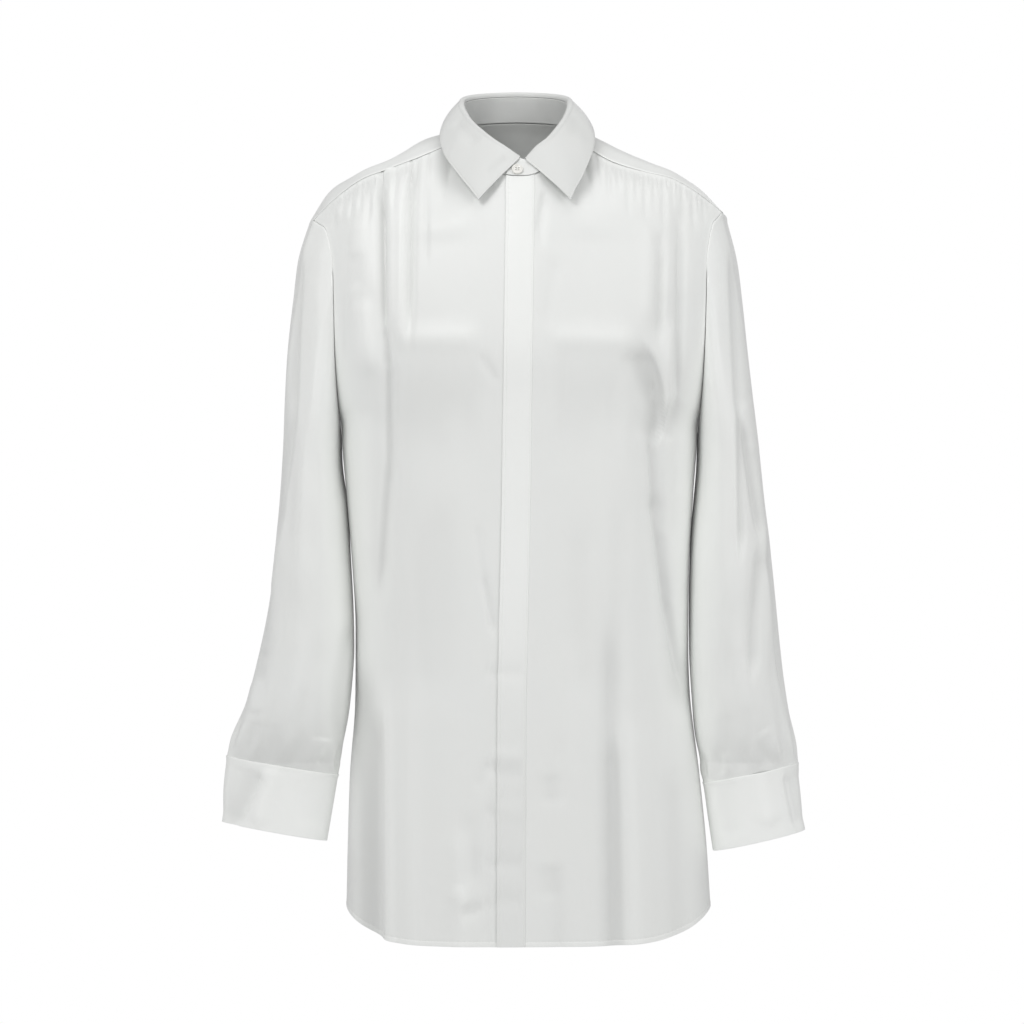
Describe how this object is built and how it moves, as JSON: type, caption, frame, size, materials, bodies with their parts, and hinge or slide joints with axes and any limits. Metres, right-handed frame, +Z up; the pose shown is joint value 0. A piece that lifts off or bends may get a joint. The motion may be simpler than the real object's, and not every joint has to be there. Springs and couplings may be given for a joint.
{
  "type": "silk shirt",
  "caption": "Long-sleeved silk shirt in its hollow worn form, with a pointed collar on a stand, a concealed placket, a gathered yoke and wide barrel cuffs.",
  "frame": {"origin": "between the shoulders, at the middle of the neck's width and depth, about 16 mm above the collar button", "axes": "+X to the wearer's left, which is the viewer's right from the front; +Y to the back; +Z up. The front faces -Y"},
  "size_m": [0.581, 0.2374, 0.849],
  "materials": {
    "silk": "smooth silk crepe with a soft sheen, off-white",
    "button": "polished, like shell, off-white"
  },
  "bodies": {
    "root": {"front_right": "silk", "front_left": "silk", "placket": "silk", "yoke": "silk", "back": "silk", "sleeve_right": "silk", "sleeve_left": "silk", "cuff_right": "silk", "cuff_left": "silk", "collar_stand": "silk", "collar_leaf": "silk", "button_collar": "button", "button_cuff_right": "button", "button_cuff_left": "button"}
  },
  "joints": []
}
